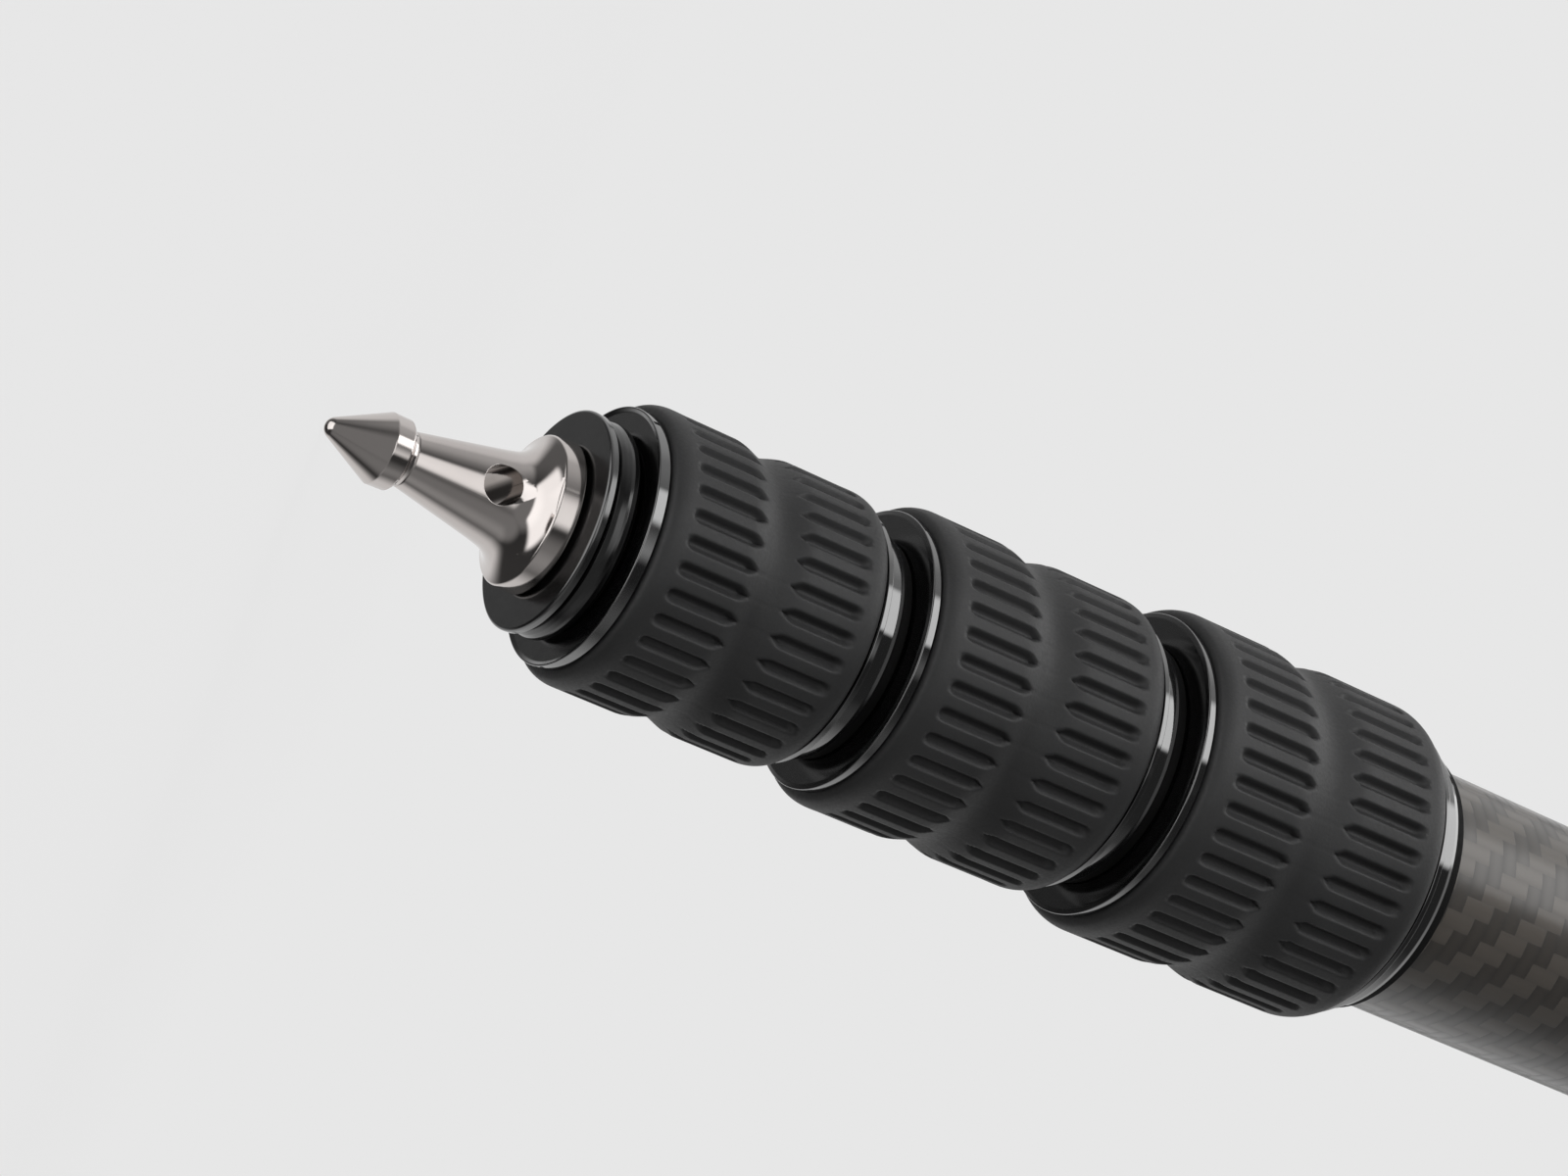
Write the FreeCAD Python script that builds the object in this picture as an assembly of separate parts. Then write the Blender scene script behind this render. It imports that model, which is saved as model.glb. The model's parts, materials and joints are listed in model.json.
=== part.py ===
import FreeCAD, Part
import math
import os

from FreeCAD import Placement, Rotation, Vector

# Camera tripod: three telescopic carbon legs of four sections on a cast apex.
# Millimetres. The origin is on the top plate at the foot of the camera stud, +Z up.
# A leg piece is drawn on the leg's own axis: height runs up from the spike's tip,
# X points outward from the tripod and Y is parallel to the hinge pin.

os.makedirs("parts", exist_ok=True)

# Stance
leg_count = 3
first_leg_azimuth = -90.0
spread_angle = 26.0
hinge_to_tip = 560.0
hinge_offset = 46.0
hinge_depth = 34.0

# Clearances
gap = 0.3
running_gap = 0.05
thread_gap = 0.1

# Tubes, from the top section to the bottom one
tube_radii = [18.0, 16.0, 14.0, 12.0]
tube_wall = 1.4
tube_top_step = 4.0
bush_length = 30.0

# Twist locks, from the top one to the bottom one
grip_radii = [23.5, 21.3, 19.4]
groove_counts = [39, 36, 34]
lock_spacing = 2.2
flange_thickness = 1.35
flange_inset = 1.55
grip_start = 1.6
grip_wall = 2.5
grip_length_ratio = 1.71
grip_end_inset = 1.15
waist_depth = 1.1
end_blend = 2.4
groove_depth = 0.9
groove_share = 0.54
groove_floor_share = 0.3
groove_start_ratio = 0.165
waist_blend = 4.25
nut_overrun = 0.25
nut_to_lip = 0.4
nut_front_wall = 3.2
lip_inset = 1.5
lip_band = 1.0
lip_length = 3.6
lip_taper = 1.5
ferrule_wall = 1.5
ferrule_neck_wall = 1.6
collet_start = 5.0
collet_tip_wall = 1.0
collet_cone = 3.5
collet_play = 0.35
collet_slots = 6
slot_width = 1.2
slot_end = 15.0
tube_seat = 18.0

# Spike
point_radius = 1.5
point_angle = 26.6
head_radius = 4.8
head_end = 10.4
head_draft = 0.1
undercut_radius = 3.5
undercut_start = 11.4
undercut_end = 12.3
neck_radius = 3.65
waist_height = 22.6
waist_radius = 6.1
bell_height = 28.3
bell_radius = 10.5
band_end = 30.8
band_radius = 10.3
seat_radius = 8.5
stud_thread_radius = 4.76
stud_end = 46.0
cross_hole_radius = 2.55
cross_hole_height = 22.9
cross_hole_turn = -27.0

# Foot collar
seat_height = 0.8
disc_radius = 14.9
disc_thickness = 1.2
disc_bevel = 0.35
disc_space = 1.4
collar_groove_radius = 12.6
second_disc_radius = 15.3
foot_neck_radius = 13.4
foot_neck_length = 2.1
foot_plug_length = 24.5

# Leg shoulder
socket_radius = 21.0
socket_length = 44.0
socket_rim = 2.0
web_thickness = 17.0
fork_gap = 20.0
cheek_thickness = 6.5
cheek_radius = 15.0
fork_floor = 11.3
pin_radius = 5.0
pin_head_radius = 7.5
pin_head_height = 2.2
pin_socket_radius = 3.0
pin_socket_depth = 1.6

# Angle stop tab
tab_inner = 10.6
tab_thickness = 4.4
tab_bottom = -20.0
tab_handle_reach = 7.5
tab_handle_height = 5.0
tab_travel = 6.4
tab_rib_count = 5
tab_rib_pitch = 2.0
tab_rib_width = 1.0
tab_rib_depth = 0.5
tab_rib_start = -8.5

# Apex
crown_thickness = 10.0
crown_radius = 59.0
scallop_radius = 40.0
scallop_offset = 85.0
crown_chamfer = 1.5
hub_radius = 23.5
hub_length = 50.0
hub_chamfer = 4.0
lug_radius = 10.0
gusset_reach = 34.0

# Top plate and camera stud
plate_thickness = 6.0
plate_radius = 34.0
plate_chamfer = 1.0
plate_ring_radius = 31.0
plate_ring_width = 1.2
plate_ring_depth = 0.5
stud_length = 12.0
stud_chamfer = 1.0
stud_shank_radius = 5.5
stud_head_radius = 9.0
stud_head_height = 6.0
screw_circle = 25.0
screw_radius = 2.0
screw_head_radius = 3.8
screw_length = 16.0
screw_socket = 1.25

# Level, hub cap, hook and accessory thread
level_radius = 7.0
level_depth = 5.0
level_offset = 46.0
level_window = 5.0
cap_thickness = 5.0
cap_radius = 19.0
cap_notches = 24
cap_notch_radius = 1.2
hook_wire = 2.0
hook_radius = 9.0
hook_stem = 7.0
hook_stem_radius = 3.0
accessory_radius = 3.175
accessory_depth = 9.0

# Heights worked out from the sizes above
disc_front = band_end + seat_height
second_disc_front = disc_front + disc_thickness + disc_space
first_lock_height = second_disc_front + disc_thickness + foot_neck_length
foot_plug_end = first_lock_height + foot_plug_length
crown_top = -plate_thickness
crown_under = crown_top - crown_thickness
hinge_height = -hinge_depth
stop_drop = crown_under - hinge_height
socket_top = hinge_to_tip - fork_floor - web_thickness
tube_1_top = socket_top - gap
grip_lengths = [grip_length_ratio * radius for radius in grip_radii]


def lock_heights():
    """Front face of each lock's nut above the tip, top lock first."""
    heights = [first_lock_height]
    for length in reversed(grip_lengths[1:]):
        metal = grip_start + length + nut_overrun + nut_to_lip + lip_length
        heights.append(heights[-1] + metal + lock_spacing)
    return list(reversed(heights))


lock_fronts = lock_heights()


def closed_face(start, *steps):
    """Face in the XZ plane. A step is a point, or (middle, end) for an arc."""
    edges = []
    here = Vector(start[0], 0, start[1])
    first = here
    for step in steps:
        if isinstance(step[0], tuple):
            middle = Vector(step[0][0], 0, step[0][1])
            there = Vector(step[1][0], 0, step[1][1])
            edges.append(Part.Arc(here, middle, there).toShape())
        else:
            there = Vector(step[0], 0, step[1])
            edges.append(Part.LineSegment(here, there).toShape())
        here = there
    if here.distanceToPoint(first) > 1e-7:
        edges.append(Part.LineSegment(here, first).toShape())
    return Part.Face(Part.Wire(edges))


def turned(start, *steps):
    """Solid of revolution about Z from a (radius, height) outline."""
    return closed_face(start, *steps).revolve(Vector(), Vector(0, 0, 1), 360)


def cylinder(radius, low, high, x=0.0, y=0.0):
    return Part.makeCylinder(radius, high - low, Vector(x, y, low))


def cross_cylinder(radius, half_length, x, z):
    """Cylinder along Y, centred on the XZ plane."""
    base = Vector(x, -half_length, z)
    return Part.makeCylinder(radius, 2 * half_length, base, Vector(0, 1, 0))


def box(x_low, x_high, y_low, y_high, z_low, z_high):
    size = (x_high - x_low, y_high - y_low, z_high - z_low)
    return Part.makeBox(*size, Vector(x_low, y_low, z_low))


def ring(outer, inner, low, high):
    return cylinder(outer, low, high).cut(cylinder(inner, low, high))


def spun(shape, angle):
    copy = shape.copy()
    copy.rotate(Vector(), Vector(0, 0, 1), angle)
    return copy


def around(shape, count, start=0.0):
    """Copies of a shape, evenly turned about Z."""
    return [spun(shape, start + 360.0 / count * turn) for turn in range(count)]


def leg_placement(index):
    azimuth = first_leg_azimuth + 360.0 / leg_count * index
    tilt = Rotation(Vector(0, 1, 0), -spread_angle)
    turn = Rotation(Vector(0, 0, 1), azimuth)
    hinge = turn.multVec(Vector(hinge_offset, 0, hinge_height))
    to_hinge = Placement(Vector(0, 0, -hinge_to_tip), Rotation())
    return Placement(hinge, turn.multiply(tilt)).multiply(to_hinge)


def spike():
    slope = math.radians(point_angle)
    tangent = (point_radius * math.cos(slope), point_radius * (1 - math.sin(slope)))
    half = (math.pi / 2 - slope) / 2
    middle = (point_radius * math.sin(half), point_radius * (1 - math.cos(half)))
    shoulder = tangent[1] + (head_radius - tangent[0]) / math.tan(slope)
    flare = ((waist_radius + bell_radius) / 2 - 0.9, (waist_height + bell_height) / 2 + 0.9)
    body = turned(
        (0, 0),
        (middle, tangent),
        (head_radius, shoulder),
        (head_radius - head_draft, head_end),
        (undercut_radius, undercut_start),
        (undercut_radius, undercut_end),
        (neck_radius, undercut_end),
        (waist_radius, waist_height),
        (flare, (bell_radius, bell_height)),
        (bell_radius, bell_height + 0.2),
        (band_radius, bell_height + 0.4),
        (band_radius, band_end),
        (seat_radius, band_end),
        (seat_radius, disc_front),
        (stud_thread_radius, disc_front),
        (stud_thread_radius, stud_end),
        (0, stud_end),
    )
    hole = Part.makeCylinder(
        cross_hole_radius,
        2 * bell_radius,
        Vector(-bell_radius, 0, cross_hole_height),
        Vector(1, 0, 0),
    )
    return body.cut(spun(hole, cross_hole_turn))


def foot_collar():
    """Black end fitting with two thin discs, bonded into the bottom tube."""
    bore = stud_thread_radius + thread_gap
    plug = tube_radii[-1] - tube_wall
    neck_end = first_lock_height - gap
    disc_back = disc_front + disc_thickness
    second_back = second_disc_front + disc_thickness
    return turned(
        (bore, disc_front),
        (disc_radius - disc_bevel, disc_front),
        (disc_radius, disc_front + disc_bevel),
        (disc_radius - disc_bevel / 2, disc_back),
        (collar_groove_radius, disc_back),
        (collar_groove_radius, second_disc_front),
        (second_disc_radius - disc_bevel, second_disc_front),
        (second_disc_radius, second_disc_front + disc_bevel),
        (second_disc_radius - disc_bevel / 2, second_back),
        (foot_neck_radius, second_back),
        (foot_neck_radius, neck_end),
        (plug, neck_end),
        (plug, foot_plug_end),
        (bore, foot_plug_end),
    )


def tube(index):
    """Section tube. The three inner ones end in the bush that guides them."""
    outer = tube_radii[index]
    bore = outer - tube_wall
    if index < len(lock_fronts):
        low = lock_fronts[index] + tube_seat
    else:
        low = first_lock_height - gap
    high = tube_1_top - tube_top_step * index
    if index == 0:
        return ring(outer, bore, low, high)
    bush = tube_radii[index - 1] - tube_wall - gap
    return turned(
        (bore, low),
        (outer, low),
        (outer, high - bush_length),
        (bush, high - bush_length),
        (bush, high),
        (bore, high),
    )


def groove_cutter(index):
    """Bar with sloped sides and ends that cuts one groove in each lobe. It runs over
    the waist, which lies deeper than the bar's floor."""
    radius = grip_radii[index]
    start = groove_start_ratio * radius
    low = lock_fronts[index] + grip_start + start
    high = low + grip_lengths[index] - 2 * start
    half_width = math.pi * radius / groove_counts[index] * groove_share
    half_floor = half_width * groove_floor_share
    over = 0.5
    half_top = half_floor + (half_width - half_floor) * (groove_depth + over) / groove_depth
    bar = Part.makeWedge(
        -half_floor,
        radius - groove_depth,
        low + groove_depth,
        low - over,
        -half_top,
        half_floor,
        radius + over,
        high - groove_depth,
        high + over,
        half_top,
    )
    return spun(bar, -90)


def grip(index):
    """Rubber grip: two ribbed lobes with a waist between them."""
    radius = grip_radii[index]
    low = lock_fronts[index] + grip_start
    high = low + grip_lengths[index]
    middle = (low + high) / 2
    seat = radius - grip_wall
    end = radius - grip_end_inset
    waist = radius - waist_depth
    rise = (end + 0.72 * (radius - end), low + 0.36 * end_blend)
    fall = (end + 0.72 * (radius - end), high - 0.36 * end_blend)
    body = turned(
        (seat, low),
        (end, low),
        (rise, (radius, low + end_blend)),
        (radius, middle - waist_blend),
        ((waist, middle), (radius, middle + waist_blend)),
        (radius, high - end_blend),
        (fall, (end, high)),
        (seat, high),
    )
    return body.cut(around(groove_cutter(index), groove_counts[index]))


def nut(index):
    """Threaded nut with a flat polished face, a bevelled rim and a closing cone."""
    radius = grip_radii[index]
    front = lock_fronts[index]
    lower = tube_radii[index + 1]
    seat = radius - grip_wall
    rim = radius - flange_inset
    mouth = lower + 2 * collet_play + 0.1
    cone_small = lower + collet_play + collet_tip_wall + gap
    bore = tube_radii[index] + ferrule_wall + gap
    cone_low = front + collet_start - 0.1
    back = front + grip_start + grip_lengths[index] + nut_overrun
    return turned(
        (mouth, front),
        (rim - 0.45, front),
        (rim - 0.2, front + 0.25),
        (rim, front + flange_thickness),
        (seat, front + flange_thickness),
        (seat, back),
        (bore, back),
        (bore, cone_low + collet_cone),
        (cone_small, cone_low),
        (cone_small, front + nut_front_wall),
        (mouth, front + nut_front_wall),
    )


def ferrule(index):
    """Collar bonded to the upper tube, with the polished lip behind the nut
    and the slotted collet that the nut closes on the lower tube."""
    radius = grip_radii[index]
    front = lock_fronts[index]
    upper = tube_radii[index]
    grip_bore = tube_radii[index + 1] + collet_play
    outer = upper + ferrule_wall
    lip = radius - lip_inset
    neck = upper + ferrule_neck_wall
    collet = front + collet_start
    lip_low = front + grip_start + grip_lengths[index] + nut_overrun + nut_to_lip
    lip_high = lip_low + lip_length
    neck_end = lip_high + lock_spacing - gap
    taper_mid = (lip - 0.32 * lip_taper, lip_low + lip_band + 0.5 * (lip_length - lip_band))
    body = turned(
        (grip_bore, collet),
        (grip_bore + collet_tip_wall, collet),
        (outer, collet + collet_cone),
        (outer, lip_low),
        (lip, lip_low),
        (lip, lip_low + lip_band),
        (taper_mid, (lip - lip_taper, lip_high)),
        (neck, lip_high),
        (neck, neck_end),
        (upper, neck_end),
        (upper, front + tube_seat),
        (grip_bore, front + tube_seat),
    )
    slot = box(0, outer + 1, -slot_width / 2, slot_width / 2, collet - 1, front + slot_end)
    return body.cut(around(slot, collet_slots))


def shoulder():
    """Forked casting bonded over the top tube. Heights are taken from the hinge."""
    width = fork_gap / 2 + cheek_thickness
    low = -fork_floor - web_thickness
    side = closed_face(
        (-cheek_radius, 0),
        ((0, cheek_radius), (cheek_radius, 0)),
        (cheek_radius + 1.5, -fork_floor),
        (socket_radius, low + 1),
        (socket_radius, low - 4),
        (-socket_radius, low - 4),
        (-socket_radius, low + 1),
        (-cheek_radius - 1.5, -fork_floor),
    )
    side.translate(Vector(0, -width, 0))
    fork = side.extrude(Vector(0, 2 * width, 0))
    fork = fork.common(cylinder(socket_radius, low - 4, cheek_radius))
    bottom = low - socket_length
    socket = turned(
        (0, low),
        (socket_radius - 1.5, low),
        (socket_radius, low - 1.5),
        (socket_radius, bottom + socket_rim + 1.0),
        (socket_radius - 0.8, bottom + socket_rim + 0.6),
        (socket_radius - 0.8, bottom + socket_rim),
        (socket_radius, bottom + socket_rim - 0.4),
        (socket_radius - 0.6, bottom),
        (0, bottom),
    )
    body = fork.fuse(socket).removeSplitter()
    opening = box(-30, 30, -fork_gap / 2, fork_gap / 2, -fork_floor, 30)
    half = fork_gap / 2
    slot_low = tab_bottom - tab_travel - 1
    slot = box(tab_inner - gap, 30, -half, half, slot_low, 30)
    bore = cylinder(tube_radii[0], bottom - 1, low)
    pin_bore = cross_cylinder(pin_radius + running_gap, width + 1, 0, 0)
    body = body.cut([opening, slot, bore, pin_bore])
    body.translate(Vector(0, 0, hinge_to_tip))
    return body


def stop_tab():
    """Sliding stop, ribbed for the thumb, whose rounded nose bears under the crown."""
    half = fork_gap / 2 - gap
    outer = tab_inner + tab_thickness
    nose = tab_thickness / 2
    lean = math.radians(spread_angle)
    reach = (tab_inner + nose) * math.sin(lean)
    nose_height = (stop_drop - gap - nose - reach) / math.cos(lean)
    handle_top = tab_bottom + tab_handle_height
    handle_end = outer + tab_handle_reach
    side = closed_face(
        (tab_inner, tab_bottom),
        (tab_inner, nose_height),
        ((tab_inner + nose, nose_height + nose), (outer, nose_height)),
        (outer, handle_top + 3.0),
        ((outer + 0.9, handle_top + 0.9), (outer + 3.0, handle_top)),
        (handle_end - 1.0, handle_top),
        (handle_end, handle_top - 1.0),
        (handle_end, tab_bottom + 1.0),
        (handle_end - 1.0, tab_bottom),
    )
    side.translate(Vector(0, -half, 0))
    body = side.extrude(Vector(0, 2 * half, 0))
    rib = box(outer - tab_rib_depth, outer + 1, -half, half, tab_rib_start, tab_rib_start + tab_rib_width)
    grooves = []
    for number in range(tab_rib_count):
        groove = rib.copy()
        groove.translate(Vector(0, 0, number * tab_rib_pitch))
        grooves.append(groove)
    body = body.cut(grooves)
    body.translate(Vector(0, 0, hinge_to_tip))
    return body


def crown():
    """Three-lobed crown that lies on the hub and carries the top plate."""
    body = turned(
        (0, crown_under),
        (crown_radius - 0.8, crown_under),
        (crown_radius, crown_under + 0.8),
        (crown_radius, crown_top - crown_chamfer),
        (crown_radius - crown_chamfer, crown_top),
        (0, crown_top),
    )
    scallop = cylinder(scallop_radius, crown_under - 1, crown_top + 1, scallop_offset)
    level_seat = cylinder(level_radius, crown_top - level_depth, crown_top + 1, level_offset)
    level_azimuth = first_leg_azimuth + 360.0 / leg_count
    stud_hole = cylinder(stud_shank_radius + thread_gap, crown_under - 1, crown_top + 1)
    screw_hole = cylinder(screw_radius, crown_under - 1, crown_top + 1, screw_circle)
    thread_face = scallop_offset - scallop_radius
    thread = Part.makeCylinder(
        accessory_radius,
        accessory_depth + 5,
        Vector(thread_face + 5, 0, (crown_top + crown_under) / 2),
        Vector(-1, 0, 0),
    )
    between_legs = first_leg_azimuth + 180.0 / leg_count
    cuts = around(scallop, leg_count, between_legs)
    cuts += [spun(level_seat, level_azimuth), stud_hole, spun(thread, between_legs)]
    cuts += around(screw_hole, leg_count, first_leg_azimuth)
    return body.cut(cuts)


def hub():
    """Hub under the crown with a hinge lug for each leg."""
    hub_low = crown_under - hub_length
    body = turned(
        (0, crown_under),
        (hub_radius, crown_under),
        (hub_radius, hub_low + hub_chamfer),
        (hub_radius - hub_chamfer, hub_low),
        (0, hub_low),
    )
    width = fork_gap / 2 - gap
    arm = box(0, hinge_offset, -width, width, hinge_height - lug_radius, hinge_height + lug_radius)
    knuckle = cross_cylinder(lug_radius, width, hinge_offset, hinge_height)
    gusset = box(0, gusset_reach, -width, width, hinge_height, crown_under)
    lug = arm.fuse([knuckle, gusset])
    body = body.fuse(around(lug, leg_count, first_leg_azimuth)).removeSplitter()
    pin_bore = cross_cylinder(pin_radius, width + 1, hinge_offset, hinge_height)
    head_hole = cylinder(stud_head_radius + gap, hub_low - 1, crown_under + 1)
    screw_hole = cylinder(screw_radius, crown_top - screw_length, crown_under + 1, screw_circle)
    cuts = around(pin_bore, leg_count, first_leg_azimuth) + [head_hole]
    cuts += around(screw_hole, leg_count, first_leg_azimuth)
    return body.cut(cuts)


def hinge_pins():
    """Three pins, each a shaft with a round head at both ends."""
    half = fork_gap / 2 + cheek_thickness + gap
    end = half + pin_head_height
    pin = cross_cylinder(pin_radius, half + 0.5, hinge_offset, hinge_height)
    heads = cross_cylinder(pin_head_radius, end, hinge_offset, hinge_height)
    between = cross_cylinder(pin_head_radius + 1, half, hinge_offset, hinge_height)
    pin = pin.fuse(heads.cut(between))
    recess = cross_cylinder(pin_socket_radius, end + 1, hinge_offset, hinge_height)
    core = cross_cylinder(pin_socket_radius + 1, end - pin_socket_depth, hinge_offset, hinge_height)
    pin = pin.cut(recess.cut(core)).removeSplitter()
    return Part.makeCompound(around(pin, leg_count, first_leg_azimuth))


def top_plate():
    plate = turned(
        (stud_shank_radius + thread_gap, crown_top),
        (plate_radius, crown_top),
        (plate_radius, -plate_chamfer),
        (plate_radius - plate_chamfer, 0),
        (plate_ring_radius, 0),
        (plate_ring_radius, -plate_ring_depth),
        (plate_ring_radius - plate_ring_width, -plate_ring_depth),
        (plate_ring_radius - plate_ring_width, 0),
        (stud_shank_radius + thread_gap, 0),
    )
    sink = Part.makeCone(screw_radius, screw_head_radius, 2.2, Vector(screw_circle, 0, -2.2))
    hole = cylinder(screw_radius, crown_top - 1, 1, screw_circle).fuse(sink)
    return plate.cut(around(hole, leg_count, first_leg_azimuth))


def plate_screws():
    head = Part.makeCone(screw_radius, screw_head_radius, 2.2, Vector(screw_circle, 0, -2.2))
    shank = cylinder(screw_radius, crown_top - screw_length + 1, -2.2, screw_circle)
    key = cylinder(screw_socket, -1.6, 1, screw_circle)
    screw = head.fuse(shank).removeSplitter().cut(key)
    return Part.makeCompound(around(screw, leg_count, first_leg_azimuth))


def camera_stud():
    low = crown_under - stud_head_height
    return turned(
        (0, low),
        (stud_head_radius, low),
        (stud_head_radius, crown_under),
        (stud_shank_radius, crown_under),
        (stud_shank_radius, 0),
        (stud_thread_radius, 0),
        (stud_thread_radius, stud_length - stud_chamfer),
        (stud_thread_radius - stud_chamfer, stud_length),
        (0, stud_length),
    )


def level_vial():
    low = crown_top - level_depth
    vial = turned(
        (0, low),
        (level_radius, low),
        (level_radius, crown_top + 0.4),
        (level_radius - 0.6, crown_top + 1.0),
        (level_window, crown_top + 1.0),
        (level_window, crown_top + 0.6),
        (0, crown_top + 0.6),
    )
    vial.translate(Vector(level_offset, 0, 0))
    return spun(vial, first_leg_azimuth + 360.0 / leg_count)


def hub_cap():
    """Plug in the hub's open end, notched round its rim, that carries the hook's stem."""
    high = crown_under - hub_length + gap
    low = high - cap_thickness
    bore = hook_stem_radius + running_gap
    plug = stud_head_radius + gap
    body = turned(
        (bore, low),
        (cap_radius - 1.5, low),
        (cap_radius, low + 1.5),
        (cap_radius, high - gap),
        (plug, high - gap),
        (plug, high + 6.0),
        (bore, high + 6.0),
    )
    notch = cylinder(cap_notch_radius, low - 1, high, cap_radius + 0.5 * cap_notch_radius)
    return body.cut(around(notch, cap_notches))


def weight_hook():
    """Closed eye on a swivel stem with a retaining head inside the hub."""
    cap_low = crown_under - hub_length + gap - cap_thickness
    head_low = crown_under - hub_length + 2 * gap + 6.0
    ring_top = cap_low - hook_stem + 3.0
    stem = turned(
        (0, ring_top - 1.0),
        (hook_stem_radius, ring_top - 1.0),
        (hook_stem_radius, head_low),
        (hook_stem_radius + 2.0, head_low),
        (hook_stem_radius + 2.0, head_low + 2.5),
        (0, head_low + 2.5),
    )
    collar = cylinder(hook_stem_radius + 2.0, cap_low - gap - 1.8, cap_low - gap)
    centre = Vector(0, 0, ring_top - hook_radius)
    eye = Part.makeTorus(hook_radius, hook_wire, centre, Vector(0, 1, 0))
    return stem.fuse([collar, eye]).removeSplitter()


def save(name, shape, placement=None):
    piece = shape.copy()
    if placement is not None:
        piece.Placement = placement.multiply(piece.Placement)
    piece.exportStep("parts/" + name + ".step")
    solids = len(piece.Solids)
    print(name, "solids", solids, "valid", piece.isValid(), "mm3", round(piece.Volume))


save("apex_crown", crown())
save("apex_hub", hub())
save("top_plate", top_plate())
save("plate_screws", plate_screws())
save("camera_stud", camera_stud())
save("hinge_pins", hinge_pins())
save("level_vial", level_vial())
save("hub_cap", hub_cap())
save("weight_hook", weight_hook())

leg_pieces = {"shoulder": shoulder(), "stop_tab": stop_tab()}
for section in range(len(tube_radii)):
    leg_pieces["tube_%d" % (section + 1)] = tube(section)
for lock in range(len(grip_radii)):
    leg_pieces["ferrule_%d" % (lock + 1)] = ferrule(lock)
    leg_pieces["lock_nut_%d" % (lock + 1)] = nut(lock)
    leg_pieces["lock_grip_%d" % (lock + 1)] = grip(lock)
leg_pieces["foot_collar"] = foot_collar()
leg_pieces["spike"] = spike()

for leg in range(leg_count):
    for name, shape in leg_pieces.items():
        save("leg_%d_%s" % (leg + 1, name), shape, leg_placement(leg))
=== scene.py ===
import json
import math

import bmesh
import bpy
from mathutils import Matrix, Vector


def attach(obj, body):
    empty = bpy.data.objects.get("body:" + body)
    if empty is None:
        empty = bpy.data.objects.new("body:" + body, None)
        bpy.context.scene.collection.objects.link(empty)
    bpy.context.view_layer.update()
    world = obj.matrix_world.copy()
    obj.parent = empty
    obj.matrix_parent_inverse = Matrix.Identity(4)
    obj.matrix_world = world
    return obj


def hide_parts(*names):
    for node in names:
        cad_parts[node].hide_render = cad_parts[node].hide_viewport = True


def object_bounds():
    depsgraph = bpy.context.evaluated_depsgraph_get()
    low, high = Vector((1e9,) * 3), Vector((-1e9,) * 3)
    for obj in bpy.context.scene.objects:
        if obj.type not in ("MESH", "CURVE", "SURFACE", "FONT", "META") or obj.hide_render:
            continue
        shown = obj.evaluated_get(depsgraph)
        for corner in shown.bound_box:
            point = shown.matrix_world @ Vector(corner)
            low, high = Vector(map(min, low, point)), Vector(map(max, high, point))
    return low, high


# A camera tripod on three spiked legs, close up on one leg's twist locks.
# Lengths are in metres, and MM turns the millimetres of a drawing into them.
MM = 0.001

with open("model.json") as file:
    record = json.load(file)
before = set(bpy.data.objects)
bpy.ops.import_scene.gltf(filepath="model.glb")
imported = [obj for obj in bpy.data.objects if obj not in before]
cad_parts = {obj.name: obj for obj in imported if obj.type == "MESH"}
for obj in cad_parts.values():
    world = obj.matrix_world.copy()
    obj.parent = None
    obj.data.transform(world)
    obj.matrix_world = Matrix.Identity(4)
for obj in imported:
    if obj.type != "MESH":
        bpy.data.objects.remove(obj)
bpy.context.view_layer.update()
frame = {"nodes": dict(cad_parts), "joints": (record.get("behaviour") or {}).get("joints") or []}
nodes = frame["nodes"]
joints = {joint["name"]: joint for joint in frame["joints"]}
LEGS = (1, 2, 3)
LOCKS = (1, 2, 3)

# The photograph's view of the leg
FRAME_WIDTH = 1600
FRAME_HEIGHT = 1200
LENS = 101.25
SENSOR = 36.0
TIP_PIXEL = (338.4, 435.8)
TIP_DISTANCE = 547.4 * MM
LEG_LEAN = math.radians(62.62)
LEG_FALL = math.radians(23.61)
VIEW_SPIN = math.radians(-7.0)

# Sizes of a leg in millimetres, by lock and by tube section
GRIP_RADII = {1: 23.5, 2: 21.3, 3: 19.4}
GROOVE_COUNTS = {1: 39, 2: 36, 3: 34}
TUBE_RADII = {1: 18.0, 2: 16.0, 3: 14.0, 4: 12.0}
GRIP_LENGTH_RATIO = 1.71
GRIP_WALL = 2.5

# Heights in millimetres, from a nut's front face up: where the grip sits, how far the nut
# reaches past it, the gap to the ferrule, the ferrule's lip and the gap to the next nut
LOWEST_FRONT = 37.5
GRIP_SEAT = 1.6
NUT_PAST_GRIP = 0.25
FERRULE_GAP = 0.4
LIP_HEIGHT = 3.6
LOCK_GAP = 2.2

# How far the ferrule's lip stays inside the grip, and where the ferrule ends past the front
LIP_INSET = 1.5
FERRULE_END = 18

# The tubes' ends in millimetres above the tip, each one's top lower than the next one out
LOWEST_TUBE_END = 37.2
HIGHEST_TUBE_END = 531.4
TUBE_END_STEP = 4
TUBE_WALL = 1.4
BUSH_LENGTH = 30
BUSH_PLAY = 0.3

# How far the spike's front stands out past the CAD's
SPIKE_REACH = 0.9


def leg_matrix(leg):
    """Leg frame: Z runs up the leg from the spike's tip, X points outward."""
    twist = joints["leg_%d_twist_1" % leg]
    up = -Vector(twist["axis"]).normalized()
    across = -Vector(joints["leg_%d_spread" % leg]["axis"]).normalized()
    outward = across.cross(up)
    matrix = Matrix((outward, across, up)).transposed().to_4x4()
    matrix.translation = Vector(twist["pos_m"])
    return matrix


LEG_FRAMES = {leg: leg_matrix(leg) for leg in LEGS}


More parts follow.
